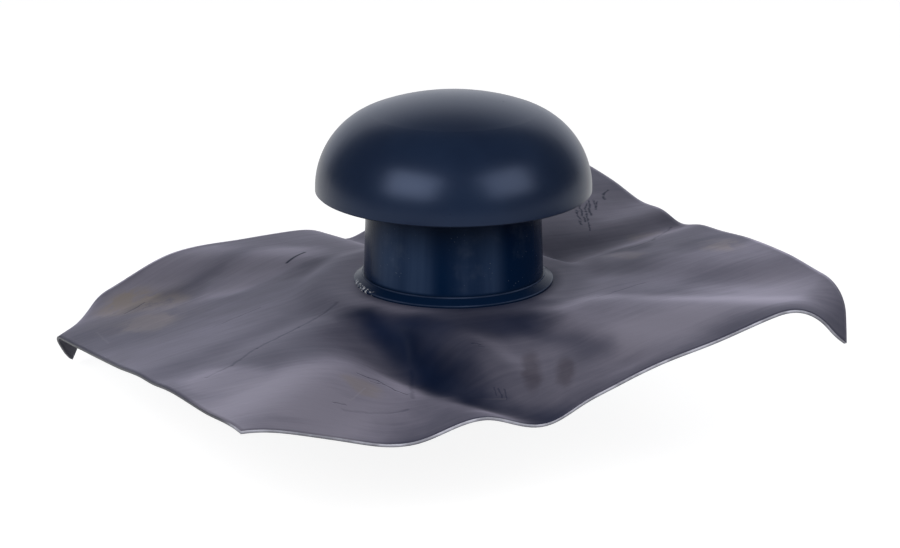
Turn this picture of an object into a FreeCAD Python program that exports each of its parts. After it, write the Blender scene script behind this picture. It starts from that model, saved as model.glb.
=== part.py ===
"""Roof vent cap for a round vent pipe, in millimetres.

A domed hood stands on four webs over the mouth of a collar. The collar's flange holds
a square sheet of soft flashing, which drapes freely and is clamped from below by a ring.
The origin is on the collar's axis, in the plane where the flange sits on the sheet.
+Z is up. +X runs to the right and +Y to the back as the cap is seen from the front.
"""
import FreeCAD, Part
import math
import os

from FreeCAD import Vector

# The vent pipe that the cap is pushed on
PIPE_RADIUS = 50.0
PIPE_FIT = 0.2

# Collar tube and the pipe socket under it
SOCKET_WALL = 3.0
SOCKET_LENGTH = 60.0
SOCKET_LEAD_IN = 1.2
TUBE_STEP = 1.8
TUBE_WALL = 2.6
TUBE_DRAFT = 2.0
TUBE_HEIGHT = 80.0
TUBE_RIM_CHAMFER = 0.5
PIPE_STOP_HEIGHT = 4.0
PIPE_STOP_THICKNESS = 3.0
PIPE_STOP_LEDGE = 1.8

# Collar flange
FLANGE_OVERHANG = 6.0
FLANGE_EDGE = 1.4
FLANGE_HEIGHT = 4.4
FOOT_BEAD_WIDTH = 1.2
FOOT_BEAD_HEIGHT = 1.0

# Hood
HOOD_RADIUS = 84.2
HOOD_RIM_HEIGHT = 56.7
HOOD_SKIRT = 2.1
HOOD_DOME_RISE = 56.7
HOOD_CROWN_RADIUS = 144.5
HOOD_WALL = 3.0
HOOD_RIM_CHAMFER = 0.7

# Webs inside the hood
WEB_COUNT = 4
WEB_FIRST_HEADING = 45.0
WEB_THICKNESS = 2.6
WEB_LEG_WIDTH = 13.0
WEB_LEG_DEPTH = 14.0
WEB_LEG_TIP = 4.0
WEB_APRON_DEPTH = 6.0
WEB_FIT = 0.3

# Clamp ring under the sheet
CLAMP_WIDTH = 7.5
CLAMP_HEIGHT = 3.2
CLAMP_CHAMFER = 1.0
CLAMP_FIT = 0.2
CLAMP_GLUE = 0.1

# Flashing sheet, as cut
SHEET_SIDE = 400.0
SHEET_THICKNESS = 1.8
SHEET_HEADING = 22.5
SHEET_SHIFT_U = -18.0
SHEET_SHIFT_V = 5.0
SHEET_HOLE_FIT = 0.4
SHEET_SEAT_MARGIN = 9.0
SHEET_EASE_LENGTH = 34.0

# Height of the sheet's hem above the flange's seat, at even steps along each side,
# corner first. The sides follow each other anticlockwise, seen from above.
HEM_FRONT = [-3.0, -12.0, -9.0, -13.0, -27.0, -3.0, 10.0, 23.0]
HEM_RIGHT = [25.0, 22.0, 22.0, 18.0, 11.0, 10.0, 2.0, 5.0]
HEM_BACK = [6.0, 2.0, -4.0, -21.0, -20.0, -22.0, -26.0, -46.0]
HEM_LEFT = [-64.0, -56.0, -48.0, -39.0, -29.0, -18.0, -10.0, -6.0]

# Soft folds pressed into the sheet: start and end in plan, rise of the crest, half width
FOLDS = [
    ((90.0, 8.0), (185.0, -55.0), -2.0, 20.0),
    ((66.0, 58.0), (140.0, 110.0), -9.0, 22.0),
    ((-78.0, 196.0), (-34.0, 100.0), -8.0, 16.0),
    ((-90.0, -60.0), (-165.0, -140.0), -1.5, 16.0),
    ((-36.0, -108.0), (20.0, -172.0), -9.0, 22.0),
    ((-32.0, -128.0), (-38.0, -245.0), -19.0, 38.0),
    ((-12.0, -88.0), (82.0, -192.0), 5.0, 18.0),
    ((52.0, -92.0), (94.0, -150.0), -3.0, 14.0),
]
FOLD_EASE_LENGTH = 26.0
FOLD_END_LENGTH = 1.1

# Corners turned down: length of the turned tip, radius of the bend, angle of the bend
LEFT_TIP = (38.0, 16.0, 60.0)
RIGHT_TIP = (42.0, 22.0, 74.0)

# Corners swung round the collar by the gathering of the folds, in degrees
FRONT_SWING = 2.6
RIGHT_SWING = -0.8
SWING_SPREAD = 60.0
SWING_EASE_LENGTH = 150.0

SHEET_SPANS = 40
REACH_STEPS = 24

# Sizes that follow from the ones above
SOCKET_BORE_RADIUS = PIPE_RADIUS + PIPE_FIT
SOCKET_RADIUS = SOCKET_BORE_RADIUS + SOCKET_WALL
TUBE_RADIUS = SOCKET_RADIUS + TUBE_STEP
TUBE_FOOT_HEIGHT = FLANGE_HEIGHT + FOOT_BEAD_HEIGHT
FLANGE_RADIUS = TUBE_RADIUS + FLANGE_OVERHANG
HOOD_TOP = HOOD_RIM_HEIGHT + HOOD_SKIRT + HOOD_DOME_RISE
SEAT_RADIUS = FLANGE_RADIUS + SHEET_SEAT_MARGIN
SHEET_HOLE_RADIUS = SOCKET_RADIUS + SHEET_HOLE_FIT
HEADING = math.radians(SHEET_HEADING)
U_LOW = SHEET_SHIFT_U - SHEET_SIDE / 2
U_HIGH = SHEET_SHIFT_U + SHEET_SIDE / 2
V_LOW = SHEET_SHIFT_V - SHEET_SIDE / 2
V_HIGH = SHEET_SHIFT_V + SHEET_SIDE / 2


def section_point(radius, height):
    """A point of a turned section, in the XZ plane."""
    return Vector(radius, 0, height)


def line(start, end):
    return Part.LineSegment(start, end).toShape()


def arc(centre, radius, start_angle, end_angle):
    """An arc of a turned section. Angles are in radians from +X towards +Z."""
    def at(angle):
        return centre + Vector(radius * math.cos(angle), 0, radius * math.sin(angle))
    middle = (start_angle + end_angle) / 2
    return Part.Arc(at(start_angle), at(middle), at(end_angle)).toShape()


def turned(edges):
    """The solid turned round the Z axis from a closed section."""
    face = Part.Face(Part.Wire(edges))
    return face.revolve(Vector(0, 0, 0), Vector(0, 0, 1), 360)


def turned_polygon(points):
    """The solid turned from a section with straight sides, given as radius and height."""
    corners = [section_point(*point) for point in points]
    return turned([line(a, b) for a, b in zip(corners, corners[1:] + corners[:1])])


def tube_radius_at(height):
    """Outside radius of the drafted tube, which narrows upwards."""
    return TUBE_RADIUS - (height - TUBE_FOOT_HEIGHT) * math.tan(math.radians(TUBE_DRAFT))


def make_collar():
    """Tube, flange and pipe socket, moulded as one piece."""
    stop_top = PIPE_STOP_HEIGHT + PIPE_STOP_THICKNESS
    rim_foot = TUBE_HEIGHT - TUBE_RIM_CHAMFER
    return turned_polygon([
        (SOCKET_BORE_RADIUS + SOCKET_LEAD_IN, -SOCKET_LENGTH),
        (SOCKET_RADIUS, -SOCKET_LENGTH),
        (SOCKET_RADIUS, 0),
        (FLANGE_RADIUS, 0),
        (FLANGE_RADIUS, FLANGE_EDGE),
        (TUBE_RADIUS + FOOT_BEAD_WIDTH, FLANGE_HEIGHT),
        (TUBE_RADIUS + FOOT_BEAD_WIDTH, TUBE_FOOT_HEIGHT),
        (TUBE_RADIUS, TUBE_FOOT_HEIGHT),
        (tube_radius_at(rim_foot), rim_foot),
        (tube_radius_at(TUBE_HEIGHT) - TUBE_RIM_CHAMFER, TUBE_HEIGHT),
        (tube_radius_at(TUBE_HEIGHT) - TUBE_WALL + TUBE_RIM_CHAMFER, TUBE_HEIGHT),
        (tube_radius_at(rim_foot) - TUBE_WALL, rim_foot),
        (tube_radius_at(stop_top) - TUBE_WALL, stop_top),
        (SOCKET_BORE_RADIUS - PIPE_STOP_LEDGE, stop_top),
        (SOCKET_BORE_RADIUS - PIPE_STOP_LEDGE, PIPE_STOP_HEIGHT),
        (SOCKET_BORE_RADIUS, PIPE_STOP_HEIGHT),
        (SOCKET_BORE_RADIUS, SOCKET_LEAD_IN - SOCKET_LENGTH),
    ])


def dome_section(inset):
    """Half outline of the dome, set in from its outer face: edges from crown to skirt foot.

    A crown arc about the axis runs tangent into a shoulder arc, which ends upright on the skirt.
    """
    shoulder_radius = (
        (2 * HOOD_CROWN_RADIUS * HOOD_DOME_RISE - HOOD_DOME_RISE ** 2 - HOOD_RADIUS ** 2)
        / (2 * (HOOD_CROWN_RADIUS - HOOD_RADIUS))
    )
    crown_centre = section_point(0, HOOD_TOP - HOOD_CROWN_RADIUS)
    shoulder_centre = section_point(HOOD_RADIUS - shoulder_radius, HOOD_RIM_HEIGHT + HOOD_SKIRT)
    meeting = math.atan2(shoulder_centre.z - crown_centre.z, shoulder_centre.x - crown_centre.x)
    crown = arc(crown_centre, HOOD_CROWN_RADIUS - inset, math.pi / 2, meeting)
    shoulder = arc(shoulder_centre, shoulder_radius - inset, meeting, 0)
    skirt = line(shoulder_centre + Vector(shoulder_radius - inset, 0, 0),
                 section_point(HOOD_RADIUS - inset, HOOD_RIM_HEIGHT))
    return [crown, shoulder, skirt]


def dome_block(inset):
    """Solid dome filled down to the rim, set in from the hood's outer face."""
    top = section_point(0, HOOD_TOP - inset)
    rim_centre = section_point(0, HOOD_RIM_HEIGHT)
    rim = section_point(HOOD_RADIUS - inset, HOOD_RIM_HEIGHT)
    return turned(dome_section(inset) + [line(rim, rim_centre), line(rim_centre, top)])


def make_web():
    """One upright web: it grips the collar's rim between an inner leg and an outer apron."""
    rim_outside = tube_radius_at(TUBE_HEIGHT - WEB_APRON_DEPTH) + WEB_FIT
    rim_inside = tube_radius_at(TUBE_HEIGHT) - TUBE_WALL - WEB_FIT
    leg_inside = rim_inside - WEB_LEG_WIDTH
    leg_foot = TUBE_HEIGHT - WEB_LEG_DEPTH
    apron_foot = TUBE_HEIGHT - WEB_APRON_DEPTH
    outline = [
        (leg_inside, HOOD_TOP),
        (leg_inside, leg_foot),
        (rim_inside - WEB_LEG_TIP, leg_foot),
        (rim_inside, leg_foot + WEB_LEG_TIP),
        (rim_inside, TUBE_HEIGHT),
        (rim_outside, TUBE_HEIGHT),
        (rim_outside, apron_foot),
        (HOOD_RADIUS, apron_foot),
        (HOOD_RADIUS, HOOD_TOP),
    ]
    corners = [section_point(*point) for point in outline]
    plate = Part.Face(Part.makePolygon(corners + corners[:1]))
    plate.translate(Vector(0, -WEB_THICKNESS / 2, 0))
    web = plate.extrude(Vector(0, WEB_THICKNESS, 0))
    return web.common(dome_block(HOOD_WALL / 2))


def make_hood():
    """Domed shell with its webs, moulded as one piece."""
    shell = dome_block(0).cut(dome_block(HOOD_WALL))
    rim_edges = [edge for edge in shell.Edges
                 if all(abs(vertex.Z - HOOD_RIM_HEIGHT) < HOOD_RIM_CHAMFER / 10 for vertex in edge.Vertexes)
                 and edge.Curve.TypeId == "Part::GeomCircle"]
    hood = shell.makeChamfer(HOOD_RIM_CHAMFER, rim_edges)
    for number in range(WEB_COUNT):
        web = make_web()
        web.rotate(Vector(0, 0, 0), Vector(0, 0, 1), WEB_FIRST_HEADING + 360 / WEB_COUNT * number)
        hood = hood.fuse(web)
    return hood.removeSplitter()


def make_clamp_ring():
    """Ring glued on the socket, which holds the sheet up against the flange."""
    inside = SOCKET_RADIUS + CLAMP_FIT
    outside = inside + CLAMP_WIDTH
    top = -SHEET_THICKNESS - CLAMP_GLUE
    foot = top - CLAMP_HEIGHT
    return turned_polygon([
        (inside, top),
        (inside, foot),
        (outside - CLAMP_CHAMFER, foot),
        (outside, foot + CLAMP_CHAMFER),
        (outside, top),
    ])


def ease(share):
    """Smooth step from 0 to 1, with no jump in curvature at its ends."""
    share = min(max(share, 0.0), 1.0)
    return share ** 3 * (10 - 15 * share + 6 * share ** 2)


def reach(distance):
    """Distance beyond the clamped seat, taken up gently as the sheet leaves it."""
    beyond = max(distance - SEAT_RADIUS, 0.0)
    return beyond * ease(beyond / SHEET_EASE_LENGTH)


def hem_slopes():
    """Heading and mean slope of the sheet at each hem station, in order of heading."""
    stations = []
    for side, heights in enumerate([HEM_FRONT, HEM_RIGHT, HEM_BACK, HEM_LEFT]):
        for number, height in enumerate(heights):
            along = SHEET_SIDE * number / len(heights)
            u, v = [
                (U_LOW + along, V_LOW),
                (U_HIGH, V_LOW + along),
                (U_HIGH - along, V_HIGH),
                (U_LOW, V_HIGH - along),
            ][side]
            stations.append((math.atan2(v, u), height / reach(math.hypot(u, v))))
    return sorted(stations)


HEM_SLOPES = hem_slopes()


def slope_towards(heading):
    """Slope at any heading: a smooth closed curve through the hem stations."""
    count = len(HEM_SLOPES)
    number = sum(station[0] <= heading for station in HEM_SLOPES) - 1

    def station(index):
        turns, place = divmod(index, count)
        return HEM_SLOPES[place][0] + 2 * math.pi * turns, HEM_SLOPES[place][1]

    (before, s0), (low, s1), (high, s2), (after, s3) = [station(number + k) for k in (-1, 0, 1, 2)]
    gap = high - low
    share = (heading - low) / gap
    leave = (s2 - s0) / (high - before) * gap
    arrive = (s3 - s1) / (after - low) * gap
    return (
        s1 * (1 - share) ** 2 * (1 + 2 * share)
        + s2 * share ** 2 * (3 - 2 * share)
        + leave * share * (1 - share) ** 2
        - arrive * share ** 2 * (1 - share)
    )


def fold_height(x, y):
    """Sum of the soft folds at a point of the plan."""
    total = 0.0
    for (x0, y0), (x1, y1), rise, width in FOLDS:
        length = math.hypot(x1 - x0, y1 - y0)
        along = ((x - x0) * (x1 - x0) + (y - y0) * (y1 - y0)) / length
        across = ((y - y0) * (x1 - x0) - (x - x0) * (y1 - y0)) / length
        past_end = max(-along, along - length, 0.0) / FOLD_END_LENGTH
        total += rise * math.exp(-(across / width) ** 2 - (past_end / width) ** 2)
    return total


def sheet_height(u, v):
    """Height of the sheet's upper face over a point of the flat sheet."""
    distance = math.hypot(u, v)
    heading = math.atan2(v, u)
    x = u * math.cos(HEADING) - v * math.sin(HEADING)
    y = u * math.sin(HEADING) + v * math.cos(HEADING)
    droop = slope_towards(heading) * reach(distance)
    folded = fold_height(x, y) * ease((distance - SEAT_RADIUS) / FOLD_EASE_LENGTH)
    return droop + folded


def swing(u, v):
    """Turn about the collar, in degrees, of a point near a gathered corner."""
    total = 0.0
    for corner_u, corner_v, degrees in [
        (U_LOW, V_LOW, FRONT_SWING),
        (U_HIGH, V_LOW, RIGHT_SWING),
    ]:
        apart = math.degrees(math.atan2(v, u) - math.atan2(corner_v, corner_u))
        apart = abs((apart + 180) % 360 - 180)
        total += degrees * ease(1 - apart / SWING_SPREAD)
    return total * ease((math.hypot(u, v) - SEAT_RADIUS) / SWING_EASE_LENGTH)


def draped(u, v):
    """A point of the flat sheet after draping, with its corners still level.

    The sheet doesn't stretch, so each line out from the collar keeps its length
    and draws in where it climbs or falls.
    """
    distance = math.hypot(u, v)
    step = distance / REACH_STEPS
    plan_reach = 0.0
    height = 0.0
    for number in range(1, REACH_STEPS + 1):
        share = number / REACH_STEPS
        next_height = sheet_height(u * share, v * share)
        plan_reach += math.sqrt(step ** 2 - (next_height - height) ** 2)
        height = next_height
    heading = math.atan2(v, u) + HEADING + math.radians(swing(u, v))
    return Vector(plan_reach * math.cos(heading), plan_reach * math.sin(heading), height)


def turned_tip(u, v, outward, past, radius, angle):
    """A point past the fold of a turned-down corner, rolled round the fold's bend."""
    out_u, out_v = outward
    foot_u = u - past * out_u
    foot_v = v - past * out_v
    foot = draped(foot_u, foot_v)
    away = (draped(foot_u + out_u, foot_v + out_v) - foot).normalize()
    sideways = draped(foot_u - out_v, foot_v + out_u) - foot
    normal = away.cross(sideways).normalize()
    rolled = min(past / radius, math.radians(angle))
    straight = past - rolled * radius
    forward = radius * math.sin(rolled) + straight * math.cos(rolled)
    down = radius * (1 - math.cos(rolled)) + straight * math.sin(rolled)
    return foot + away * forward - normal * down


def laid(u, v):
    """A point of the flat sheet as it hangs, turned-down corners and all."""
    for corner_u, corner_v, (length, radius, angle) in [
        (U_LOW, V_HIGH, LEFT_TIP),
        (U_HIGH, V_LOW, RIGHT_TIP),
    ]:
        diagonal = math.hypot(corner_u, corner_v)
        outward = (corner_u / diagonal, corner_v / diagonal)
        past = u * outward[0] + v * outward[1] - (diagonal - length)
        if past > 0:
            return turned_tip(u, v, outward, past, radius, angle)
    return draped(u, v)


def sheet_grid():
    """Control points of the upper face, in rows over the flat sheet.

    The rows stand evenly, with one more row a third of the way into each border span, so that
    a spline over them keeps the sheet's width and lies flat wherever they do.
    """
    stations = [0, 1 / 3] + list(range(1, SHEET_SPANS)) + [SHEET_SPANS - 1 / 3, SHEET_SPANS]
    places = [SHEET_SIDE * station / SHEET_SPANS for station in stations]
    return [[laid(U_LOW + across, V_LOW + along) for along in places] for across in places]


def lowered(grid):
    """The same grid moved down its own normals by the sheet's thickness."""
    last = len(grid) - 1
    lower = []
    for i, row in enumerate(grid):
        lower.append([])
        for j, point in enumerate(row):
            across = grid[min(i + 1, last)][j] - grid[max(i - 1, 0)][j]
            along = row[min(j + 1, last)] - row[max(j - 1, 0)]
            normal = across.cross(along).normalize()
            lower[-1].append(point - normal * SHEET_THICKNESS)
    return lower


def surface_over(grid):
    """Smooth spline surface with the grid as its control points."""
    degree = 3
    knots = list(range(SHEET_SPANS + 1))
    counts = [degree + 1] + [1] * (SHEET_SPANS - 1) + [degree + 1]
    surface = Part.BSplineSurface()
    surface.buildFromPolesMultsKnots(grid, counts, counts, knots, knots, False, False, degree, degree)
    return surface


def make_flashing_sheet():
    """Draped square sheet with a round hole for the socket."""
    grid = sheet_grid()
    upper = surface_over(grid)
    lower = surface_over(lowered(grid))
    rims = [(upper.uIso(border), lower.uIso(border)) for border in (0, SHEET_SPANS)]
    rims += [(upper.vIso(border), lower.vIso(border)) for border in (0, SHEET_SPANS)]
    faces = [upper.toShape(), lower.toShape()]
    faces += [Part.makeRuledSurface(above.toShape(), below.toShape()) for above, below in rims]
    skin = Part.makeShell(faces)
    skin.sewShape()
    sheet = Part.makeSolid(skin)
    hole = Part.makeCylinder(SHEET_HOLE_RADIUS, 2 * SEAT_RADIUS, Vector(0, 0, -SEAT_RADIUS))
    return sheet.cut(hole)


def write(shape, name):
    shape.exportStep(os.path.join("parts", name + ".step"))


os.makedirs("parts", exist_ok=True)
write(make_collar(), "collar")
write(make_hood(), "hood")
write(make_clamp_ring(), "clamp_ring")
write(make_flashing_sheet(), "flashing_sheet")
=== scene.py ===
"""Look of the roof vent cap: the finish of its moulded pieces and its draped flashing sheet."""
import math

import bmesh
import bpy
import numpy as np
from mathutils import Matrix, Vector


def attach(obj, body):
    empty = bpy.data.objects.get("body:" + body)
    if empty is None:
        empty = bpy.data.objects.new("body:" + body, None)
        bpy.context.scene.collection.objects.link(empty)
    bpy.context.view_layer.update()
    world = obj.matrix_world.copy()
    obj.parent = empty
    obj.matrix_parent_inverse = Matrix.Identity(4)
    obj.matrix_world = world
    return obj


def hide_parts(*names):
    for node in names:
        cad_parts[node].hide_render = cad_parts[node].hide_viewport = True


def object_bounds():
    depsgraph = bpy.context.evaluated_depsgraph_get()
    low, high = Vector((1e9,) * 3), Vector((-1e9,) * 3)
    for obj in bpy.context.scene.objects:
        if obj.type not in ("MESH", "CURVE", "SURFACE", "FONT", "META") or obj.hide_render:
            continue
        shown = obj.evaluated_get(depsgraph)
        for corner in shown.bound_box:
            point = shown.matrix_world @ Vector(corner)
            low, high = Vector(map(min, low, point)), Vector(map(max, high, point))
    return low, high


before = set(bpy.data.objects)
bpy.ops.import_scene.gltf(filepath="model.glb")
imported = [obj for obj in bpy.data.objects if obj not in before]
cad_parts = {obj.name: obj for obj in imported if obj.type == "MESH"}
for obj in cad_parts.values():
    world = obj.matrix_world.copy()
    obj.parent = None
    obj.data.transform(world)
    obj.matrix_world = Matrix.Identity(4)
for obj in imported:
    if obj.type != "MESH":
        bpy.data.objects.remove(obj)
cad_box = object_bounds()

MM = 0.001

# Directions as seen by the camera, which stands at the front and looks along +Y
RIGHTWARD = (1, 0, 0)
FORWARD = (0, -1, 0)
BACKWARD = (0, 1, 0)
UPWARD = (0, 0, 1)

# The second axis of the flat sheet, and a factor that drops a place's height
V_AXIS = (0, 1, 0)
LEVEL = (1, 1, 0)

# The flashing sheet as cut and as it hangs, in millimetres and degrees
SHEET_SIDE = 400.0
SHEET_THICKNESS = 1.8
SHEET_HEADING = 22.5
SHEET_SHIFT = (-18.0, 5.0)
SHEET_HOLE_RADIUS = 53.6
SEAT_RADIUS = 70.0
EASE_LENGTH = 34.0
FOLD_EASE_LENGTH = 26.0
FOLD_END_LENGTH = 1.1
SHEET_SEGMENTS = 160
REACH_STEPS = 24

# Its sides in the flat, from the collar's axis
U_LOW = SHEET_SHIFT[0] - SHEET_SIDE / 2
U_HIGH = SHEET_SHIFT[0] + SHEET_SIDE / 2
V_LOW = SHEET_SHIFT[1] - SHEET_SIDE / 2
V_HIGH = SHEET_SHIFT[1] + SHEET_SIDE / 2
HEADING = math.radians(SHEET_HEADING)

# Height of the hem at even steps along each side, corner first, anticlockwise
HEM_FRONT = [-3.0, -12.0, -9.0, -13.0, -27.0, -3.0, 10.0, 23.0]
HEM_RIGHT = [25.0, 22.0, 22.0, 18.0, 11.0, 10.0, 2.0, 5.0]
HEM_BACK = [6.0, 2.0, -4.0, -21.0, -20.0, -22.0, -26.0, -46.0]
HEM_LEFT = [-64.0, -56.0, -48.0, -39.0, -29.0, -18.0, -10.0, -6.0]

# Soft folds: start and end in plan, rise of the crest, half width
FOLDS = [
    ((90.0, 8.0), (185.0, -55.0), -2.0, 20.0),
    ((66.0, 58.0), (140.0, 110.0), -9.0, 22.0),
    ((-78.0, 196.0), (-34.0, 100.0), -8.0, 16.0),
    ((-90.0, -60.0), (-165.0, -140.0), -1.5, 16.0),
    ((-36.0, -108.0), (20.0, -172.0), -9.0, 22.0),
    ((-32.0, -128.0), (-38.0, -245.0), -19.0, 38.0),
    ((-12.0, -88.0), (82.0, -192.0), 5.0, 18.0),
    ((52.0, -92.0), (94.0, -150.0), -3.0, 14.0),
]

# Corners turned down: length of the tip, radius of the bend, angle of the bend
LEFT_TIP = (38.0, 16.0, 60.0)
RIGHT_TIP = (42.0, 22.0, 74.0)

# Corners swung round the collar by the gathering of the folds
FRONT_SWING = 2.6
RIGHT_SWING = -0.8
SWING_SPREAD = 60.0
SWING_EASE_LENGTH = 150.0

# Places on the moulded pieces that their finish follows, in metres and degrees
HOOD_RIM = 0.0567
COLLAR_RIM = 0.080
FLANGE_TOP = 0.0054
FLANGE_LIP = 0.0014
BEAD_EDGE_RADIUS = 0.0562
FLANGE_EDGE_RADIUS = 0.061
GLUE_HEADING = -68.0

# Where a finish fades in at those places: where it is nothing, then where it is full
TUBE_FOOT = (FLANGE_TOP, FLANGE_TOP + 2.0 * MM)
# The hood's rim and the collar's rim carry a painted highlight along their edges
HOOD_RIM_HIGHLIGHT_FADE = (HOOD_RIM + 0.9 * MM, HOOD_RIM + 0.2 * MM)
COLLAR_RIM_HIGHLIGHT_FADE = (COLLAR_RIM - 0.8 * MM, COLLAR_RIM - 0.3 * MM)
GLUE_BAND = (FLANGE_EDGE_RADIUS - 2.2 * MM, FLANGE_EDGE_RADIUS - 1.0 * MM)

# The same, as distances from the place
# Painted highlight along the edge of the bead and of the flange lip
BEAD_HIGHLIGHT_ACROSS = (0.5 * MM, 0.2 * MM)
BEAD_HIGHLIGHT_UP = (1.0 * MM, 0.5 * MM)
LIP_HIGHLIGHT_ACROSS = (0.5 * MM, 0.1 * MM)
LIP_HIGHLIGHT_UP = (0.7 * MM, 0.3 * MM)
GLUE_SPREAD = (17.0, 8.5)

# Painted reflections of the softboxes, drawn as pale upright streaks up the collar's tube: heading,
# half width, how pale
PAINTED_REFLECTION_STREAKS = [
    (-50.0, 17.0, 0.8),
    (-36.0, 17.0, 0.6),
    (-22.0, 15.0, 1.0),
    (9.0, 15.0, 0.4),
    (25.0, 13.0, 0.75),
]

# Noise: its middle value, and where the paler mottle fades in
NOISE_MIDDLE = 0.5
MOTTLE_RANGE = (0.35, 0.7)

# Specks: the fade of one's edge, how many cells wide they gather, and a gathering's fade
SPECK_EDGE = (0.13, 0.07)
SPECK_GATHERING = 9
SPECK_GATHERING_FADE = 0.05

# Oval patches: share of their size where they are nothing, then where they are full
PATCH_FADE = (1.0, 0.35)

# A colour Mix node's sockets by number, since its other kinds share their names
MIX_SHARE, MIX_LOW, MIX_HIGH, MIX_RESULT = 0, 6, 7, 2

# Finish of the hood. Scales of noise are in features per metre. Specks have a scale and a rarity
HOOD_MOTTLE_SCALE = 22.0
HOOD_GRAIN_SCALE = 900.0
HOOD_SPECKS = (210.0, 0.62)
# How strongly the painted highlight along the hood's rim shows
HOOD_RIM_HIGHLIGHT = 0.5
HOOD_ROUGHNESS = 0.31
HOOD_MOTTLE_ROUGHNESS = 0.08
HOOD_GRAIN_ROUGHNESS = 0.05
HOOD_SPECK_ROUGHNESS = 0.2
HOOD_SPECULAR = 0.3
HOOD_SPECK_HEIGHT = 2.0
HOOD_BUMP = 0.02
PLASTIC_RELIEF = 0.2 * MM

# Finish of the collar and the clamp ring
DRAWN_SCALES = (260.0, 260.0, 9.0)
DRAWN_HEIGHT = 0.4
# How strong the painted reflection streaks are at least, and how much the drawn grain adds to them
REFLECTION_STREAK_BASE = 0.55
REFLECTION_STREAK_GRAIN = 0.9
COLLAR_MOTTLE_SCALE = 30.0
COLLAR_SPECKS = (330.0, 0.56)
# Patchiness of the painted edge highlights
EDGE_HIGHLIGHT_PATCH_RANGE = (0.3, 0.7)
EDGE_HIGHLIGHT_PATCH_LEAST = 0.35
GLUE_FLAKE_SCALE = 420.0
GLUE_FLAKE_RANGE = (0.5, 0.56)
GLUE_ROUGHNESS = 0.35
GLUE_HEIGHT = 4.0
SMEAR_PATCH_SCALE = 45.0
SMEAR_PATCH_RANGE = (0.55, 0.75)
SMEAR_SCALES = (300.0, 300.0, 60.0)
SMEAR_SHARE = 0.5
SMEAR_ROUGHNESS = 0.12
COLLAR_DUST_SHARE = 0.45
COLLAR_ROUGHNESS = 0.24
COLLAR_MOTTLE_ROUGHNESS = 0.14
COLLAR_IOR = 1.14
COLLAR_BUMP = 0.12

# Colours of the moulded pieces
GLOSS_TINT = (0.55, 0.67, 1.0)
HOOD_COLOUR = (0.0060, 0.0120, 0.030)
HOOD_PALER = (0.0075, 0.0150, 0.036)
COLLAR_COLOUR = (0.002, 0.008, 0.025)
# The tube's colour is a little bluer than the flange's: painted light that offsets the shade under
# the hood
TUBE_COLOUR = (0.001, 0.0085, 0.030)
# Pale colour of the painted reflection streaks on the tube
COLLAR_PAINTED_REFLECTION = (0.020, 0.036, 0.075)
# Colour of the painted highlight along edges and rims
PAINTED_EDGE_HIGHLIGHT = (0.035, 0.050, 0.090)
SPECK_DARK = (0.002, 0.003, 0.008)
DUST = (0.10, 0.12, 0.16)
DRIED_GLUE = (0.42, 0.43, 0.46)

# Colours of the flashing
SHEET_COLOUR = (0.003, 0.007, 0.023)
SHEET_PALER = (0.005, 0.011, 0.033)
SHEET_DUST = (0.078, 0.075, 0.101)
# Paler dust where the cover is thick, mostly where painted light is laid on
THICK_DUST_AND_LIGHT = (0.138, 0.130, 0.163)
BROWN_STAIN = (0.138, 0.112, 0.080)
THUMBED = (0.052, 0.042, 0.050)
PALE_SCRATCH = (0.16, 0.15, 0.17)
CUT_EDGE_DULL = (0.035, 0.037, 0.052)
# Colour of the painted highlight along the front of the cut edge
CUT_EDGE_HIGHLIGHT = (0.46, 0.46, 0.53)

# Finish of the flashing. Scales of noise are in features per millimetre of the flat sheet
SHEET_MOTTLE_SCALE = 0.016
SHEET_GRAIN_SCALE = 0.5
ROLLED_SCALES = (0.012, 0.24, 1)
ROLLED_TURN = -50.0
WIPED_SCALES = (0.02, 0.12, 1)
WIPED_TURN = -22.0
BLOTCH_SCALE = 0.05
BLOTCH_RANGE = (0.35, 0.52)
BLOTCH_LEAST = 0.2
HATCH_BREAK_SCALE = 0.3
HATCH_BREAK_RANGE = (0.32, 0.5)
DENT_SCALE = 0.06

# How far the outlines of marks wander: scale of the noise, and distance in millimetres
ZONE_DRIFT = (0.02, 26.0)
STAIN_DRIFT = (0.045, 22.0)
THUMB_DRIFT = (0.08, 8.0)
SCRATCH_DRIFT = (0.12, 2.0)
CREASE_DRIFT = (0.15, 4.0)
HATCH_DRIFT = (0.1, 5.0)

# Dust: its mean cover, what the noises add to it, and where it counts as thick and turns paler,
# which the painted light zones mostly reach
DUST_LEVEL = 0.56
ROLLED_DUST = 0.5
WIPED_DUST = 0.3
MOTTLED_DUST = 0.7
THICK_DUST_AND_LIGHT_RANGE = (0.9, 1.6)

# Painted shade and painted reflection of the tube: barer, darker skin close round the front of the
# flange
FLANGE_PAINTED_SHADE = 0.55
FLANGE_PAINTED_SHADE_FADE = (70.0, 61.0)
FRONT_FADE = (20.0, -20.0)

# How strongly marks show, bare the skin or cover it; the creases and the slit are painted darker as
# shade
HATCH_DARK = 0.9
SLIT_PAINTED_SHADE = 1.3
CREASE_PAINTED_SHADE = 0.6
THUMB_SHARE = 0.65
SCRATCH_SHARE = 0.6
MARK_BARES = 0.75
THUMB_BARES = 0.2
STAIN_COVERS = 0.15

# Relief of the sheet
GRAIN_HEIGHT = 0.5
ROLLED_HEIGHT = 1.2
DENT_HEIGHT = 3.0
SCRATCH_HEIGHT = 0.6
SLIT_DEPTH = 2.0
CREASE_DEPTH = 4.0
SHEET_BUMP = 0.16
SHEET_RELIEF = 0.3 * MM

# Sheen of the sheet: bare skin is dull, and its dust has a soft pale bloom
BARE_ROUGHNESS = 0.55
BARE_SPECULAR = 0.05
COAT_ROUGHNESS = 0.6
COAT_SPECULAR = 0.15
SHEET_ROUGHNESS_SWING = 0.1
SHEEN_ROUGHNESS = 0.42
SHEEN_TINT = (0.50, 0.47, 0.585)

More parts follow.
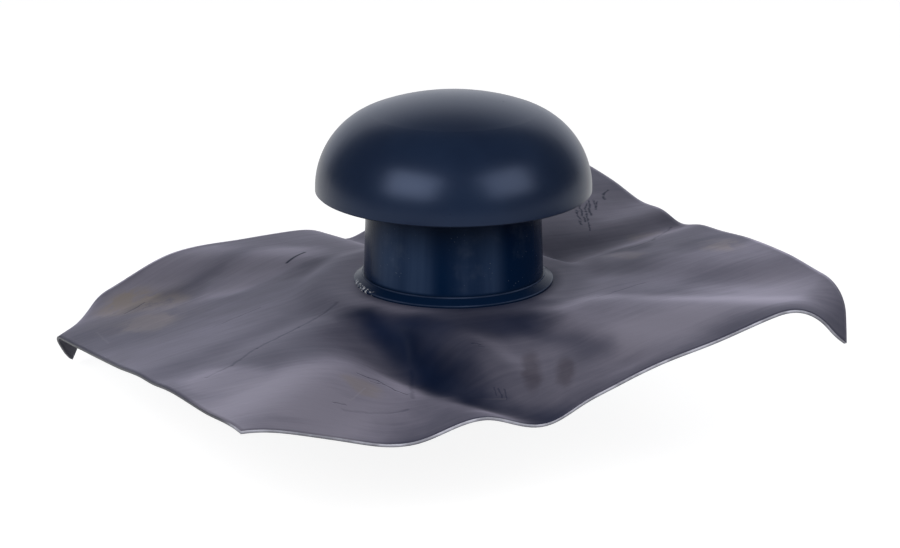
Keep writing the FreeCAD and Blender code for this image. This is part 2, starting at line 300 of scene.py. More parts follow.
# Cut edge of the sheet: how far in from the front side it is dull, then pale with a painted
# highlight
FRONT_EDGE_HIGHLIGHT_FADE = (V_LOW + 30.0, V_LOW + 5.0)
CUT_EDGE_HIGHLIGHT_SCALE = 0.09
CUT_EDGE_HIGHLIGHT_RANGE = (0.35, 0.65)
CUT_EDGE_HIGHLIGHT_LEAST = 0.5
CUT_EDGE_ROUGHNESS = 0.55
NICK_SCALE = 1.2
NICK_ROUGHNESS = 0.2
NICK_BUMP = 0.2

# Marks on the flashing, placed on the flat sheet in millimetres from the collar's axis.
# Ovals have a centre, half sizes and a turn in degrees. Strokes have a start, an end and a half
# width. A weight comes last, but for the thumb marks and the slit
STAINS = [
    ((-165.0, 130.0), (48.0, 80.0), 0.0, 0.35),
    ((-165.0, 165.0), (26.0, 34.0), 20.0, 0.9),
    ((-172.0, 95.0), (22.0, 40.0), 5.0, 0.8),
    ((-150.0, 135.0), (20.0, 30.0), 0.0, 0.6),
    ((112.0, -10.0), (14.0, 24.0), 30.0, 0.6),
    ((164.0, -45.0), (16.0, 26.0), 10.0, 0.8),
    ((152.0, 36.0), (18.0, 22.0), 0.0, 0.6),
    ((-119.0, -128.0), (14.0, 18.0), 0.0, 0.5),
]
# Painted light: zones where more coat of dusty sheen makes the sheet paler
PAINTED_LIGHT_ZONES = [
    ((-204.0, -180.0), (95.0, 85.0), 0.0, 0.8),
    ((-140.0, -140.0), (70.0, 60.0), 20.0, 0.8),
    ((-88.0, 122.0), (56.0, 48.0), 0.0, 0.7),
    ((-190.0, -98.0), (32.0, 32.0), 0.0, 0.6),
    ((62.0, -160.0), (50.0, 40.0), 0.0, 0.5),
    ((48.0, -104.0), (40.0, 40.0), 0.0, 0.4),
    ((10.0, -150.0), (80.0, 60.0), 10.0, 0.42),
    ((125.0, -140.0), (95.0, 60.0), 0.0, 0.6),
    ((150.0, -75.0), (70.0, 60.0), 0.0, 0.35),
    ((160.0, 85.0), (60.0, 60.0), 0.0, 0.3),
    ((-140.0, 182.0), (75.0, 36.0), 0.0, 0.8),
]
# Painted shade: zones of barer, darker skin
PAINTED_SHADE_ZONES = [
    ((-20.0, -74.0), (60.0, 30.0), -22.0, 0.65),
    ((100.0, 15.0), (40.0, 22.0), 30.0, 0.35),
    ((-200.0, 100.0), (60.0, 80.0), 0.0, 0.25),
    ((118.0, -104.0), (42.0, 36.0), 0.0, 0.35),
    ((16.0, -62.0), (32.0, 16.0), -10.0, 0.5),
    ((122.0, 8.0), (22.0, 16.0), 0.0, 0.4),
    ((166.0, -28.0), (30.0, 30.0), 0.0, 0.35),
]
# Painted shade: runs of barer, darker skin along the dark valley in front of the flange
PAINTED_SHADE_RUNS = [
    ((-76.0, -42.0), (-68.0, -72.0), 20.0, 0.9),
    ((-62.0, -70.0), (-58.0, -118.0), 30.0, 0.97),
    ((-60.0, -118.0), (-56.0, -155.0), 26.0, 0.85),
    ((-56.0, -160.0), (-22.0, -195.0), 19.0, 0.6),
    ((9.0, -85.0), (26.0, -148.0), 20.0, 0.4),
]
THUMB_MARKS = [
    ((-11.0, -143.0), (30.0, 8.0), 67.0),
    ((4.0, -158.0), (24.0, 8.0), 67.0),
]
# The slit, painted dark as the shade inside the cut
SLIT = ((-72.0, 106.0), (-56.0, 116.0), 2.0)
# Creases, painted darker as the shade in their folds, and sunk by the bump
CREASES = [
    ((-82.0, -17.0), (-115.0, -38.0), 2.0, 0.5),
    ((-115.0, -38.0), (-151.0, -59.0), 1.8, 0.6),
    ((-151.0, -59.0), (-176.0, -80.0), 1.8, 0.6),
    ((-176.0, -80.0), (-195.0, -90.0), 1.8, 0.4),
    ((-114.0, -112.0), (-103.0, -113.0), 1.2, 0.9),
    ((-103.0, -113.0), (-96.0, -124.0), 1.2, 1.0),
    ((-96.0, -124.0), (-90.0, -130.0), 1.4, 0.9),
    ((-110.0, -117.0), (-101.0, -117.5), 1.1, 0.8),
    ((-150.0, -156.0), (-143.0, -155.0), 1.3, 0.9),
    ((-147.0, -162.0), (-101.0, -153.0), 2.2, 0.4),
    ((-69.0, -91.0), (-90.0, -138.0), 2.6, 0.45),
    ((-33.0, -107.0), (-29.0, -110.0), 0.9, 0.6),
    ((-31.0, -111.0), (-28.0, -113.0), 0.8, 0.5),
    ((-38.0, -149.0), (-40.0, -156.0), 0.7, 0.5),
    ((-36.0, -151.0), (-38.0, -159.0), 0.7, 0.6),
    ((-34.0, -154.0), (-36.0, -161.0), 0.7, 0.5),
    ((-173.0, 149.0), (-157.0, 155.0), 1.6, 0.9),
    ((-150.0, 20.0), (-118.0, 28.0), 1.4, 0.5),
    ((60.0, -80.0), (96.0, -70.0), 1.4, 0.4),
    ((122.0, 4.0), (142.0, 12.0), 1.6, 0.6),
    ((142.0, 12.0), (174.0, 48.0), 1.8, 0.6),
]
PALE_SCRATCHES = [
    ((-200.0, 124.0), (-204.0, 78.0), 1.3, 1.0),
    ((-138.0, -149.0), (-118.0, -128.0), 0.7, 1.0),
    ((-60.0, -150.0), (-36.0, -161.0), 0.7, 1.0),
]
HATCHING = [
    ((131.0, 104.0), (122.0, 77.0), 1.3, 1.0),
    ((137.0, 111.0), (127.0, 82.0), 1.2, 1.0),
    ((143.0, 115.0), (129.0, 82.0), 1.3, 1.0),
    ((147.0, 119.0), (136.0, 92.0), 1.2, 1.0),
    ((151.0, 120.0), (146.0, 106.0), 1.2, 1.0),
    ((152.0, 116.0), (144.0, 102.0), 1.1, 1.0),
    ((163.0, 131.0), (159.0, 119.0), 1.2, 1.0),
    ((169.0, 136.0), (162.0, 128.0), 1.2, 1.0),
    ((129.0, 80.0), (124.0, 66.0), 1.1, 1.0),
    ((132.0, 102.0), (137.0, 99.0), 1.0, 1.0),
]

# Camera: where it looks in metres, how far off it stands, how high in degrees, and its lens
CAMERA_TARGET = (-0.00215, 0.0, 0.00292)
CAMERA_DISTANCE = 1.8
CAMERA_ELEVATION = 17.03
CAMERA_SENSOR = 36.0
CAMERA_LENS = 117.4

# Softboxes: name, azimuth and elevation in degrees, size in metres, power in watts
SOFTBOXES = [
    ("left_softbox", -38, 32, (1.15, 0.85), 19),
    ("right_softbox", 50, 32, (1.1, 0.85), 13.5),
]
SOFTBOX_DISTANCE = 1.6
SOFTBOX_TARGET = (0, 0, 0.03)

# Sky: light from all round, and a glow behind the cap that fades in backward and downward
SKY_TINT = (0.92, 0.96, 1.06)
SKY_ALL_ROUND = 0.12
SKY_GLOW = 0.95
SKY_GLOW_BEHIND = (0.6, 0.8)
SKY_GLOW_LOW = (0.85, 0.45)
WHITE = (1, 1, 1)
BLACK = (0, 0, 0)

# Floor: its size and its gap below the sheet's lowest corner in metres, and its finish
FLOOR_HALF_SIDE = 6.0
FLOOR_GAP = 0.004
FLOOR_GREY = (0.3, 0.3, 0.3)
FLOOR_GLOW = (0.88, 0.88, 0.88)
FLOOR_ROUGHNESS = 0.9


# Drape of the sheet

def ease(share):
    """Smooth step from 0 to 1, with no jump in curvature at its ends."""
    share = np.clip(share, 0, 1)
    return share ** 3 * (10 - 15 * share + 6 * share ** 2)


def reach(distance):
    """Distance beyond the clamped seat, taken up gently as the sheet leaves it."""
    beyond = np.maximum(distance - SEAT_RADIUS, 0)
    return beyond * ease(beyond / EASE_LENGTH)


def hem_slopes():
    """Headings and mean slopes of the sheet at the hem's stations, closed on themselves."""
    steps = SHEET_SIDE * np.arange(len(HEM_FRONT)) / len(HEM_FRONT)
    sides = [
        (U_LOW + steps, V_LOW + 0 * steps, HEM_FRONT),
        (U_HIGH + 0 * steps, V_LOW + steps, HEM_RIGHT),
        (U_HIGH - steps, V_HIGH + 0 * steps, HEM_BACK),
        (U_LOW + 0 * steps, V_HIGH - steps, HEM_LEFT),
    ]
    u, v, heights = [np.concatenate([side[k] for side in sides]) for k in range(3)]
    headings = np.arctan2(v, u)
    order = np.argsort(headings)
    headings = headings[order]
    slopes = (heights / reach(np.hypot(u, v)))[order]
    turn = 2 * math.pi
    headings = np.concatenate([headings[-2:] - turn, headings, headings[:2] + turn])
    return headings, np.concatenate([slopes[-2:], slopes, slopes[:2]])


STATION_HEADINGS, STATION_SLOPES = hem_slopes()


def slope_towards(heading):
    """Slope at any heading: a smooth closed curve through the hem's stations."""
    number = np.searchsorted(STATION_HEADINGS, heading, side="right") - 1
    before, low, high, after = [STATION_HEADINGS[number + k] for k in (-1, 0, 1, 2)]
    s0, s1, s2, s3 = [STATION_SLOPES[number + k] for k in (-1, 0, 1, 2)]
    gap = high - low
    share = (heading - low) / gap
    leave = (s2 - s0) / (high - before) * gap
    arrive = (s3 - s1) / (after - low) * gap
    return (
        s1 * (1 - share) ** 2 * (1 + 2 * share)
        + s2 * share ** 2 * (3 - 2 * share)
        + leave * share * (1 - share) ** 2
        - arrive * share ** 2 * (1 - share)
    )


def fold_height(x, y):
    """Sum of the soft folds at a point of the plan."""
    total = 0 * x
    for (x0, y0), (x1, y1), rise, width in FOLDS:
        length = math.hypot(x1 - x0, y1 - y0)
        along = ((x - x0) * (x1 - x0) + (y - y0) * (y1 - y0)) / length
        across = ((y - y0) * (x1 - x0) - (x - x0) * (y1 - y0)) / length
        past_end = np.maximum(np.maximum(-along, along - length), 0) / FOLD_END_LENGTH
        total = total + rise * np.exp(-(across / width) ** 2 - (past_end / width) ** 2)
    return total


def sheet_height(u, v):
    """Height of the sheet's upper face over a point of the flat sheet."""
    distance = np.hypot(u, v)
    x = u * math.cos(HEADING) - v * math.sin(HEADING)
    y = u * math.sin(HEADING) + v * math.cos(HEADING)
    droop = slope_towards(np.arctan2(v, u)) * reach(distance)
    return droop + fold_height(x, y) * ease((distance - SEAT_RADIUS) / FOLD_EASE_LENGTH)


def swing(u, v):
    """Turn about the collar, in degrees, of a point near a gathered corner."""
    total = 0 * u
    for corner_u, corner_v, degrees in [(U_LOW, V_LOW, FRONT_SWING), (U_HIGH, V_LOW, RIGHT_SWING)]:
        apart = np.degrees(np.arctan2(v, u) - math.atan2(corner_v, corner_u))
        apart = np.abs((apart + 180) % 360 - 180)
        total = total + degrees * ease(1 - apart / SWING_SPREAD)
    return total * ease((np.hypot(u, v) - SEAT_RADIUS) / SWING_EASE_LENGTH)


def draped(u, v):
    """Points of the flat sheet after draping. Each line out from the collar keeps its length."""
    step = np.hypot(u, v) / REACH_STEPS
    plan_reach = 0 * u
    height = 0 * u
    for number in range(1, REACH_STEPS + 1):
        share = number / REACH_STEPS
        next_height = sheet_height(u * share, v * share)
        plan_reach = plan_reach + np.sqrt(step ** 2 - (next_height - height) ** 2)
        height = next_height
    heading = np.arctan2(v, u) + HEADING + np.radians(swing(u, v))
    return np.stack([plan_reach * np.cos(heading), plan_reach * np.sin(heading), height], axis=-1)


def unit(vectors):
    return vectors / np.linalg.norm(vectors, axis=-1, keepdims=True)


def hung(u, v):
    """Points of the flat sheet as it hangs, with its turned-down corners."""
    points = draped(u, v)
    for corner_u, corner_v, (length, radius, angle) in [
        (U_LOW, V_HIGH, LEFT_TIP),
        (U_HIGH, V_LOW, RIGHT_TIP),
    ]:
        diagonal = math.hypot(corner_u, corner_v)
        out_u, out_v = corner_u / diagonal, corner_v / diagonal
        past = u * out_u + v * out_v - (diagonal - length)
        tip = past > 0
        past = past[tip]
        foot_u = u[tip] - past * out_u
        foot_v = v[tip] - past * out_v
        foot = draped(foot_u, foot_v)
        away = unit(draped(foot_u + out_u, foot_v + out_v) - foot)
        sideways = draped(foot_u - out_v, foot_v + out_u) - foot
        normal = unit(np.cross(away, sideways))
        rolled = np.minimum(past / radius, math.radians(angle))
        straight = past - rolled * radius
        forward = radius * np.sin(rolled) + straight * np.cos(rolled)
        down = radius * (1 - np.cos(rolled)) + straight * np.sin(rolled)
        points[tip] = foot + away * forward[:, None] - normal * down[:, None]
    return points


# Mesh helpers

def finished_object(mesh_maker, name):
    """An object made from a bmesh, smooth shaded."""
    mesh = bpy.data.meshes.new(name)
    for face in mesh_maker.faces:
        face.smooth = True
    mesh_maker.to_mesh(mesh)
    mesh_maker.free()
    piece = bpy.data.objects.new(name, mesh)
    bpy.context.scene.collection.objects.link(piece)
    return piece


def make_flashing():
    """The draped sheet, from a flat grid with a hole for the socket."""
    maker = bmesh.new()
    half = SHEET_SIDE / 2
    bmesh.ops.create_grid(maker, x_segments=SHEET_SEGMENTS, y_segments=SHEET_SEGMENTS, size=half)
    flat_map = maker.loops.layers.uv.new("flat")
    for face in maker.faces:
        for loop in face.loops:
            across, up = loop.vert.co[:2]
            loop[flat_map].uv = (across / SHEET_SIDE + 0.5, up / SHEET_SIDE + 0.5)
    bmesh.ops.translate(maker, verts=maker.verts, vec=(*SHEET_SHIFT, 0))
    inside = [face for face in maker.faces if face.calc_center_median().length < SHEET_HOLE_RADIUS]
    bmesh.ops.delete(maker, geom=inside, context="FACES")
    for vert in maker.verts:
        if vert.is_boundary and vert.co.length < SEAT_RADIUS:
            vert.co *= SHEET_HOLE_RADIUS / vert.co.length
    maker.verts.ensure_lookup_table()
    flat = np.array([vert.co[:2] for vert in maker.verts])
    for vert, place in zip(maker.verts, hung(flat[:, 0], flat[:, 1])):
        vert.co = place * MM
    sheet = finished_object(maker, "draped_flashing")
    wall = sheet.modifiers.new("thickness", "SOLIDIFY")
    wall.thickness = SHEET_THICKNESS * MM
    wall.offset = -1
    wall.material_offset_rim = 1
    return sheet


# Materials

class Signal:
    """A socket's value in a shader tree. Arithmetic on it adds Math nodes."""

    def __init__(self, shader, socket):
        self.shader = shader
        self.socket = socket

    def math(self, operation, *operands):
        inputs = dict(enumerate([self, *operands]))
        return self.shader.node("ShaderNodeMath", {"operation": operation}, inputs)

    def vector_math(self, operation, *operands, output=0):
        inputs = dict(enumerate([self, *operands]))
        return self.shader.node("ShaderNodeVectorMath", {"operation": operation}, inputs, output)

    def __add__(self, other):
        return self.math("ADD", other)

    __radd__ = __add__

    def __sub__(self, other):
        return self.math("SUBTRACT", other)

    def __rsub__(self, other):
        return self.shader.node("ShaderNodeMath", {"operation": "SUBTRACT"}, {0: other, 1: self})

    def __mul__(self, other):
        return self.math("MULTIPLY", other)

    __rmul__ = __mul__

    def __truediv__(self, other):
        return self.math("DIVIDE", other)

    def either(self, other):
        return self.math("MAXIMUM", other)

    def at_most_one(self):
        return self.math("MINIMUM", 1.0)

    def centred(self):
        """A noise value moved to swing about 0."""
        return self - NOISE_MIDDLE

    def raised(self, floor):
        """A value from 0 to 1 squeezed between floor and 1."""
        return floor + (1 - floor) * self

    def between(self, low, high):
        """0 at low, 1 at high, and smooth between them."""
        return self.shader.node(
            "ShaderNodeMapRange",
            {"interpolation_type": "SMOOTHSTEP"},
            {"Value": self, "From Min": low, "From Max": high},
        )

    def near(self, middle, fade):
        """1 close to middle and 0 far from it. Fade has the far distance first."""
        return (self - middle).math("ABSOLUTE").between(*fade)

    def along(self, axis):
        """How far a place lies along an axis."""
        return self.vector_math("DOT_PRODUCT", axis, output="Value")

    def length(self):
        return self.vector_math("LENGTH", output="Value")


class Shader:
    """The node tree of a material or of the world, built from expressions."""

    def __init__(self, owner, surface="Principled BSDF"):
        owner.use_nodes = True
        self.owner = owner
        self.tree = owner.node_tree
        self.surface = self.tree.nodes[surface]

    def node(self, kind, settings, inputs, output=0):
        """Any node: its type, its settings, then the values or links of its sockets."""
        made = self.tree.nodes.new(kind)
        for name, value in settings.items():
            setattr(made, name, value)
        for name, value in inputs.items():
            self.feed(made.inputs[name], value)
        return Signal(self, made.outputs[output])

    def feed(self, socket, value):
        if isinstance(value, Signal):
            self.tree.links.new(value.socket, socket)
        elif hasattr(value, "__len__") and socket.type == "RGBA":
            socket.default_value = (*value, 1)
        else:
            socket.default_value = value

    def set(self, **values):
        for name, value in values.items():
            self.feed(self.surface.inputs[name.replace("_", " ")], value)

    def place(self):
        return self.node("ShaderNodeTexCoord", {}, {}, output="Object")

    def place_on_flat(self):
        """Place on the sheet as cut, in millimetres from the collar's axis."""
        flat = self.node("ShaderNodeUVMap", {"uv_map": "flat"}, {})
        return self.stretched(flat, (SHEET_SIDE, SHEET_SIDE, 1), shift=(U_LOW, V_LOW, 0))

    def stretched(self, place, scale, turn=0.0, shift=(0, 0, 0), kind="POINT"):
        """A place scaled, turned about the upright axis and shifted."""
        rotation = (0, 0, math.radians(turn))
        inputs = {"Vector": place, "Scale": scale, "Rotation": rotation, "Location": shift}
        return self.node("ShaderNodeMapping", {"vector_type": kind}, inputs)

    def cloud(self, place, scale, detail=4.0, roughness=0.55, distortion=0.0, output="Fac"):
        inputs = {
            "Vector": place, "Scale": scale, "Detail": detail,
            "Roughness": roughness, "Distortion": distortion,
        }
        return self.node("ShaderNodeTexNoise", {}, inputs, output)

    def wandering(self, place, scale, amount):
        """A place moved about by soft noise, so that edges drawn from it wander."""
        drift = self.cloud(place, scale, detail=3.0, output="Color")
        centred = drift.vector_math("SUBTRACT", (NOISE_MIDDLE, NOISE_MIDDLE, NOISE_MIDDLE))
        return centred.vector_math("MULTIPLY_ADD", (amount, amount, 0), place)

    def patch(self, place, centre, size, turn=0.0):
        """1 in the middle of an oval patch, 0 at its edge and outside."""
        local = self.stretched(place, (*size, 1), turn, (*centre, 0), kind="TEXTURE")
        return local.vector_math("MULTIPLY", LEVEL).length().between(*PATCH_FADE)

    def stroke(self, place, start, end, width):
        """1 along a straight stroke, fading over its width."""
        run = (end[0] - start[0], end[1] - start[1], 0)
        from_start = place.vector_math("SUBTRACT", (*start, 0)).vector_math("MULTIPLY", LEVEL)
        share = from_start.along(run) / math.hypot(*run) ** 2
        share = share.math("MAXIMUM", 0.0).at_most_one()
        inputs = {0: run, "Scale": share}
        nearest = self.node("ShaderNodeVectorMath", {"operation": "SCALE"}, inputs)
        return from_start.vector_math("DISTANCE", nearest, output="Value").between(width, 0.0)

    def mix(self, low, high, share):
        inputs = {MIX_SHARE: share, MIX_LOW: low, MIX_HIGH: high}
        return self.node("ShaderNodeMix", {"data_type": "RGBA"}, inputs, MIX_RESULT)

    def bump(self, height, strength, distance):
        inputs = {"Height": height, "Strength": strength, "Distance": distance}
        return self.node("ShaderNodeBump", {}, inputs)


def heading_of(place):
    """Heading of a place round the cap's axis, in degrees: 0 at the front, 90 at the right."""
    return place.along(RIGHTWARD).math("ARCTAN2", place.along(FORWARD)) * math.degrees(1)


def dust_specks(shader, place, scale, rarity):
    """Small separate specks: 1 in the specks, 0 between them."""
    inputs = {"Vector": place, "Scale": scale, "Randomness": 1.0}
    distance = shader.node("ShaderNodeTexVoronoi", {"feature": "F1"}, inputs, "Distance")
    gathered = shader.cloud(place, scale / SPECK_GATHERING, detail=2.0)
    return distance.between(*SPECK_EDGE) * gathered.between(rarity, rarity + SPECK_GATHERING_FADE)


def hood_finish():
    """Slate-blue moulded plastic with a satin skin, faint mottle, a few specks and a painted
    highlight along the rim.
    """
    shader = Shader(bpy.data.materials.new("hood_satin_plastic"))
    place = shader.place()
    mottle = shader.cloud(place, HOOD_MOTTLE_SCALE, detail=5.0)
    grain = shader.cloud(place, HOOD_GRAIN_SCALE, detail=2.0)
    specks = dust_specks(shader, place, *HOOD_SPECKS)
    # Painted highlight along the rim's lower edge
    rim = place.along(UPWARD).between(*HOOD_RIM_HIGHLIGHT_FADE)
    colour = shader.mix(HOOD_COLOUR, HOOD_PALER, mottle.between(*MOTTLE_RANGE))
    colour = shader.mix(colour, PAINTED_EDGE_HIGHLIGHT, rim * HOOD_RIM_HIGHLIGHT)
    shader.set(
        Base_Color=shader.mix(colour, SPECK_DARK, specks),
        Roughness=(
            HOOD_ROUGHNESS + HOOD_MOTTLE_ROUGHNESS * mottle.centred()
            + HOOD_GRAIN_ROUGHNESS * grain.centred() + HOOD_SPECK_ROUGHNESS * specks
        ),
        Specular_IOR_Level=HOOD_SPECULAR,
        Specular_Tint=GLOSS_TINT,
        Normal=shader.bump(grain + HOOD_SPECK_HEIGHT * specks, HOOD_BUMP, PLASTIC_RELIEF),
    )
    return shader.owner


def collar_finish():
    """Glossier slate-blue plastic with upright streaks of painted reflection, painted highlights
    along its edges, dust, and dried glue at the flange.
    """
    shader = Shader(bpy.data.materials.new("collar_gloss_plastic"))
    place = shader.place()
    radius = place.vector_math("MULTIPLY", LEVEL).length()
    height = place.along(UPWARD)
    heading = heading_of(place)
    wall = height.between(*TUBE_FOOT)

    # Painted reflections: pale upright streaks on the tube's wall, broken up by the drawn grain
    painted_reflections = 0.0
    for middle, half_width, weight in PAINTED_REFLECTION_STREAKS:
        painted_reflections = painted_reflections + weight * heading.near(middle, (half_width, 0.0))
    drawn = shader.cloud(shader.stretched(place, DRAWN_SCALES), 1.0, detail=4.0)
    mottle = shader.cloud(place, COLLAR_MOTTLE_SCALE, detail=4.0)
    colour = shader.mix(COLLAR_COLOUR, TUBE_COLOUR, wall)
    colour = shader.mix(colour, COLLAR_PAINTED_REFLECTION, wall * painted_reflections * (REFLECTION_STREAK_BASE + REFLECTION_STREAK_GRAIN * drawn))

    # Painted highlights along the bead, the flange lip and the rim, made patchy by the mottle
    bead = radius.near(BEAD_EDGE_RADIUS, BEAD_HIGHLIGHT_ACROSS) * height.near(FLANGE_TOP, BEAD_HIGHLIGHT_UP)
    edge = radius.near(FLANGE_EDGE_RADIUS, LIP_HIGHLIGHT_ACROSS) * height.near(FLANGE_LIP, LIP_HIGHLIGHT_UP)
    rim = height.between(*COLLAR_RIM_HIGHLIGHT_FADE)
    patchy_edge_highlight = mottle.between(*EDGE_HIGHLIGHT_PATCH_RANGE).raised(EDGE_HIGHLIGHT_PATCH_LEAST)
    colour = shader.mix(colour, PAINTED_EDGE_HIGHLIGHT, bead.either(edge).either(rim) * patchy_edge_highlight)

    flakes = shader.cloud(place, GLUE_FLAKE_SCALE, detail=5.0, roughness=0.7)
    glue = flakes.between(*GLUE_FLAKE_RANGE) * heading.near(GLUE_HEADING, GLUE_SPREAD)
    glue = glue * radius.between(*GLUE_BAND)
    specks = dust_specks(shader, place, *COLLAR_SPECKS)
    dusty = shader.cloud(place, SMEAR_PATCH_SCALE, detail=5.0).between(*SMEAR_PATCH_RANGE)
    wiped = shader.cloud(shader.stretched(place, SMEAR_SCALES), 1.0, detail=3.0)
    smears = dusty * wiped * SMEAR_SHARE
    colour = shader.mix(colour, DUST, specks.either(smears) * wall * COLLAR_DUST_SHARE)
    shader.set(
        Base_Color=shader.mix(colour, DRIED_GLUE, glue),
        Roughness=(
            COLLAR_ROUGHNESS + COLLAR_MOTTLE_ROUGHNESS * mottle.centred()
            + SMEAR_ROUGHNESS * smears + GLUE_ROUGHNESS * glue
        ),
        IOR=COLLAR_IOR,
        Specular_Tint=GLOSS_TINT,
        Normal=shader.bump(
            DRAWN_HEIGHT * drawn + GLUE_HEIGHT * glue + specks, COLLAR_BUMP, PLASTIC_RELIEF),
    )
    return shader.owner


def dust_and_painted_light(shader, flat, rolled, wiped, mottle):
    """Dust coat on a place of the flat sheet: 0 on bare skin, over 1 where it is thick. Its zones
    paint light and shade.
    """
    soft_flat = shader.wandering(flat, *ZONE_DRIFT)
    dust_and_light = DUST_LEVEL
    # Painted light: more coat where the sheet is made paler
    for centre, size, turn, weight in PAINTED_LIGHT_ZONES:
        dust_and_light = dust_and_light + weight * shader.patch(soft_flat, centre, size, turn)
    # Painted shade: barer skin where the sheet is made darker
    for centre, size, turn, weight in PAINTED_SHADE_ZONES:
        dust_and_light = dust_and_light * (1 - weight * shader.patch(soft_flat, centre, size, turn))
    for start, end, width, weight in PAINTED_SHADE_RUNS:
        dust_and_light = dust_and_light * (1 - weight * shader.stroke(soft_flat, start, end, width))
    # Painted shade round the front of the flange
    flange_shade = flat.length().between(*FLANGE_PAINTED_SHADE_FADE)
    in_front = flat.along(V_AXIS).between(*FRONT_FADE)
    dust_and_light = dust_and_light * (1 - FLANGE_PAINTED_SHADE * flange_shade * in_front)
    return dust_and_light * (
        1 + ROLLED_DUST * rolled.centred() + WIPED_DUST * wiped.centred()
        + MOTTLED_DUST * mottle.centred()
    )


def stain_cover(shader, flat):
    """How brown a place of the flat sheet is stained."""
    rough_flat = shader.wandering(flat, *STAIN_DRIFT)
    stain = 0.0
    for centre, size, turn, weight in STAINS:
        stain = stain + weight * shader.patch(rough_flat, centre, size, turn)
    blotch = shader.cloud(rough_flat, BLOTCH_SCALE, detail=5.0, roughness=0.65)
    return stain * blotch.between(*BLOTCH_RANGE).raised(BLOTCH_LEAST)


def strokes_on(shader, place, strokes):
    """Several strokes together. The last figure of each is its weight."""
    total = 0.0
    for start, end, width, weight in strokes:
        total = total + weight * shader.stroke(place, start, end, width)
    return total


def flashing_finish():
    """Dark soft sheet with a rolled grain: bare skin, and over it an uneven coat of dull dust,
    whose cover also paints light and shade.
    """
    shader = Shader(bpy.data.materials.new("flashing_skin"))
    flat = shader.place_on_flat()
    mottle = shader.cloud(flat, SHEET_MOTTLE_SCALE, detail=6.0)
    grain = shader.cloud(flat, SHEET_GRAIN_SCALE, detail=2.0)
    rolled = shader.cloud(
        shader.stretched(flat, ROLLED_SCALES, turn=ROLLED_TURN), 1.0, detail=5.0, roughness=0.62)
    wiped = shader.cloud(
        shader.stretched(flat, WIPED_SCALES, turn=WIPED_TURN), 1.0, detail=4.0, distortion=0.6)
    dust_and_light = dust_and_painted_light(shader, flat, rolled, wiped, mottle)
    stain = stain_cover(shader, flat)

    thumb_flat = shader.wandering(flat, *THUMB_DRIFT)
    thumbed = 0.0
    for centre, size, turn in THUMB_MARKS:
        thumbed = thumbed + shader.patch(thumb_flat, centre, size, turn)
    scratch = strokes_on(shader, shader.wandering(flat, *SCRATCH_DRIFT), PALE_SCRATCHES)
    crease = strokes_on(shader, shader.wandering(flat, *CREASE_DRIFT), CREASES)
    hatch = strokes_on(shader, shader.wandering(flat, *HATCH_DRIFT), HATCHING)
    broken = shader.cloud(flat, HATCH_BREAK_SCALE, detail=3.0).between(*HATCH_BREAK_RANGE)
    hatch = (hatch * broken).at_most_one()
    # Scuffs darken the skin; the slit and the creases get painted shade
    slit = shader.stroke(flat, *SLIT)
    dark_marks_and_shade = (hatch * HATCH_DARK).either(slit * SLIT_PAINTED_SHADE).either(crease * CREASE_PAINTED_SHADE)

    dents = shader.cloud(flat, DENT_SCALE, detail=3.0)
    height = GRAIN_HEIGHT * grain + ROLLED_HEIGHT * rolled + DENT_HEIGHT * dents
    height = height + SCRATCH_HEIGHT * scratch - SLIT_DEPTH * slit - CREASE_DEPTH * crease
    relief = shader.bump(height, SHEET_BUMP, SHEET_RELIEF)

    # Paler where dust is thick or painted light is heaped up
    dusty = shader.mix(SHEET_DUST, THICK_DUST_AND_LIGHT, dust_and_light.between(*THICK_DUST_AND_LIGHT_RANGE))
    dusty = shader.mix(dusty, BROWN_STAIN, stain)
    dusty = shader.mix(dusty, THUMBED, thumbed * THUMB_SHARE)
    dusty = shader.mix(dusty, PALE_SCRATCH, scratch * SCRATCH_SHARE)
    shader.set(
        Base_Color=shader.mix(SHEET_COLOUR, SHEET_PALER, mottle.between(*MOTTLE_RANGE)),
        Roughness=BARE_ROUGHNESS + SHEET_ROUGHNESS_SWING * mottle.centred(),
        Specular_IOR_Level=BARE_SPECULAR,
        Normal=relief,
    )
    coat = shader.node("ShaderNodeBsdfPrincipled", {}, {
        "Base Color": shader.mix(dusty, SHEET_COLOUR, dark_marks_and_shade),
        "Roughness": COAT_ROUGHNESS + SHEET_ROUGHNESS_SWING * wiped.centred(),
        "Specular IOR Level": COAT_SPECULAR,
        "Sheen Weight": 1.0,
        "Sheen Roughness": SHEEN_ROUGHNESS,
        "Sheen Tint": SHEEN_TINT,
        "Normal": relief,
    })
    skin = Signal(shader, shader.surface.outputs[0])
    left_on = dust_and_light * (1 - MARK_BARES * dark_marks_and_shade - THUMB_BARES * thumbed)
    share = (left_on + STAIN_COVERS * stain).at_most_one()
    both = shader.node("ShaderNodeMixShader", {}, {0: share, 1: skin, 2: coat})
    shader.feed(shader.tree.nodes["Material Output"].inputs["Surface"], both)
    return shader.owner


def cut_edge_finish():
    """The sheet's cut edge: a painted highlight along its front side, and rough with knife nicks.
    """
    shader = Shader(bpy.data.materials.new("flashing_cut_edge"))
    flat = shader.place_on_flat()
    # Painted highlight along the front of the cut edge, made patchy by noise
    front = flat.along(V_AXIS).between(*FRONT_EDGE_HIGHLIGHT_FADE)
    patchy_cut_highlight = shader.cloud(flat, CUT_EDGE_HIGHLIGHT_SCALE, detail=4.0).between(*CUT_EDGE_HIGHLIGHT_RANGE)
    nicks = shader.cloud(flat, NICK_SCALE, detail=2.0)
    shader.set(
        Base_Color=shader.mix(CUT_EDGE_DULL, CUT_EDGE_HIGHLIGHT, front * patchy_cut_highlight.raised(CUT_EDGE_HIGHLIGHT_LEAST)),
        Roughness=CUT_EDGE_ROUGHNESS + NICK_ROUGHNESS * nicks.centred(),
        Normal=shader.bump(nicks, NICK_BUMP, SHEET_RELIEF),
    )
    return shader.owner


# Pieces

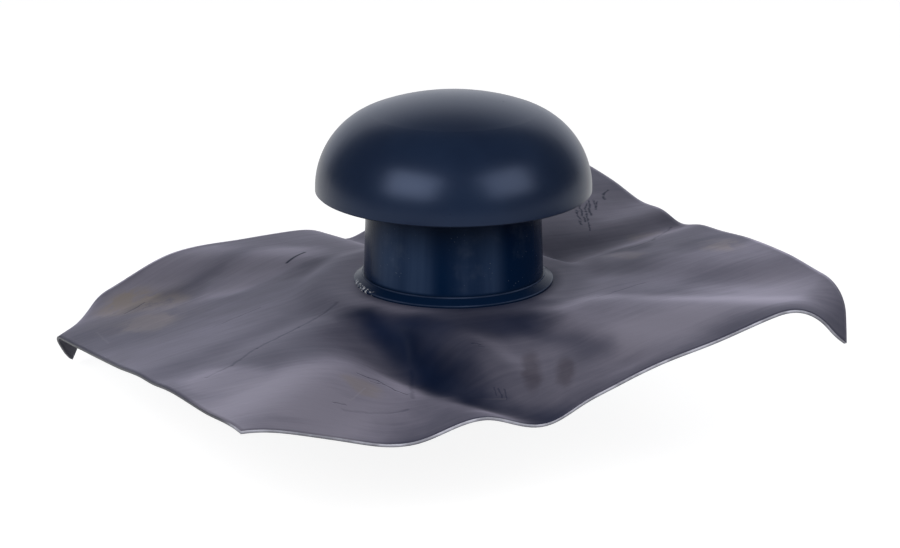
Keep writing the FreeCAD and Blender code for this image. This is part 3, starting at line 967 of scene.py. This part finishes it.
for node_name, finish in [
    ("hood", hood_finish()),
    ("collar", collar_finish()),
    ("clamp_ring", collar_finish()),
]:
    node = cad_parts[node_name]
    node.data.materials.clear()
    node.data.materials.append(finish)

flashing = make_flashing()
flashing.data.materials.append(flashing_finish())
flashing.data.materials.append(cut_edge_finish())
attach(flashing, "root")
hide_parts("flashing_sheet")


# Studio

def make_camera():
    data = bpy.data.cameras.new("camera")
    data.sensor_width = CAMERA_SENSOR
    data.lens = CAMERA_LENS
    camera = bpy.data.objects.new("camera", data)
    bpy.context.scene.collection.objects.link(camera)
    elevation = math.radians(CAMERA_ELEVATION)
    away = Vector((0, -math.cos(elevation), math.sin(elevation)))
    camera.location = Vector(CAMERA_TARGET) + CAMERA_DISTANCE * away
    camera.rotation_euler = (math.radians(90 - CAMERA_ELEVATION), 0, 0)
    bpy.context.scene.camera = camera


def make_softbox(name, azimuth, elevation, size, power):
    """A soft lamp aimed at the cap. Azimuth 0 is over the camera, positive to the right."""
    data = bpy.data.lights.new(name, "AREA")
    data.shape = "RECTANGLE"
    data.size, data.size_y = size
    data.energy = power
    lamp = bpy.data.objects.new(name, data)
    bpy.context.scene.collection.objects.link(lamp)
    a, e = math.radians(azimuth), math.radians(elevation)
    direction = Vector((math.sin(a) * math.cos(e), -math.cos(a) * math.cos(e), math.sin(e)))
    lamp.location = Vector(SOFTBOX_TARGET) + SOFTBOX_DISTANCE * direction
    lamp.rotation_euler = direction.to_track_quat("Z", "Y").to_euler()


def make_studio_sky():
    """White to the eye; it lights the cap from low behind."""
    world = bpy.data.worlds.new("studio")
    bpy.context.scene.world = world
    sky = Shader(world, "Background")
    direction = sky.node("ShaderNodeTexCoord", {}, {}, output="Generated")
    behind = direction.along(BACKWARD).between(*SKY_GLOW_BEHIND)
    low = direction.along(UPWARD).between(*SKY_GLOW_LOW)
    lit = SKY_ALL_ROUND + SKY_GLOW * behind * low
    seen = sky.node("ShaderNodeLightPath", {}, {}, output="Is Camera Ray")
    sky.set(Color=sky.mix(SKY_TINT, WHITE, seen), Strength=lit * (1 - seen) + seen)


def make_floor():
    """White to the eye and in reflections; it keeps the cap's shadow."""
    maker = bmesh.new()
    bmesh.ops.create_grid(maker, x_segments=1, y_segments=1, size=FLOOR_HALF_SIDE)
    bmesh.ops.translate(maker, verts=maker.verts, vec=(0, 0, cad_box[0][2] - FLOOR_GAP))
    floor = finished_object(maker, "studio_floor")
    shader = Shader(bpy.data.materials.new("studio_floor_white"))
    seen, glossy, through = [
        shader.node("ShaderNodeLightPath", {}, {}, output=ray)
        for ray in ("Is Camera Ray", "Is Glossy Ray", "Is Transmission Ray")
    ]
    shader.set(
        Base_Color=FLOOR_GREY,
        Roughness=FLOOR_ROUGHNESS,
        Emission_Color=shader.mix(BLACK, FLOOR_GLOW, seen.either(glossy).either(through)),
        Emission_Strength=1.0,
    )
    floor.data.materials.append(shader.owner)


make_camera()
make_studio_sky()
for softbox in SOFTBOXES:
    make_softbox(*softbox)
make_floor()
bpy.context.scene.view_settings.view_transform = "Standard"
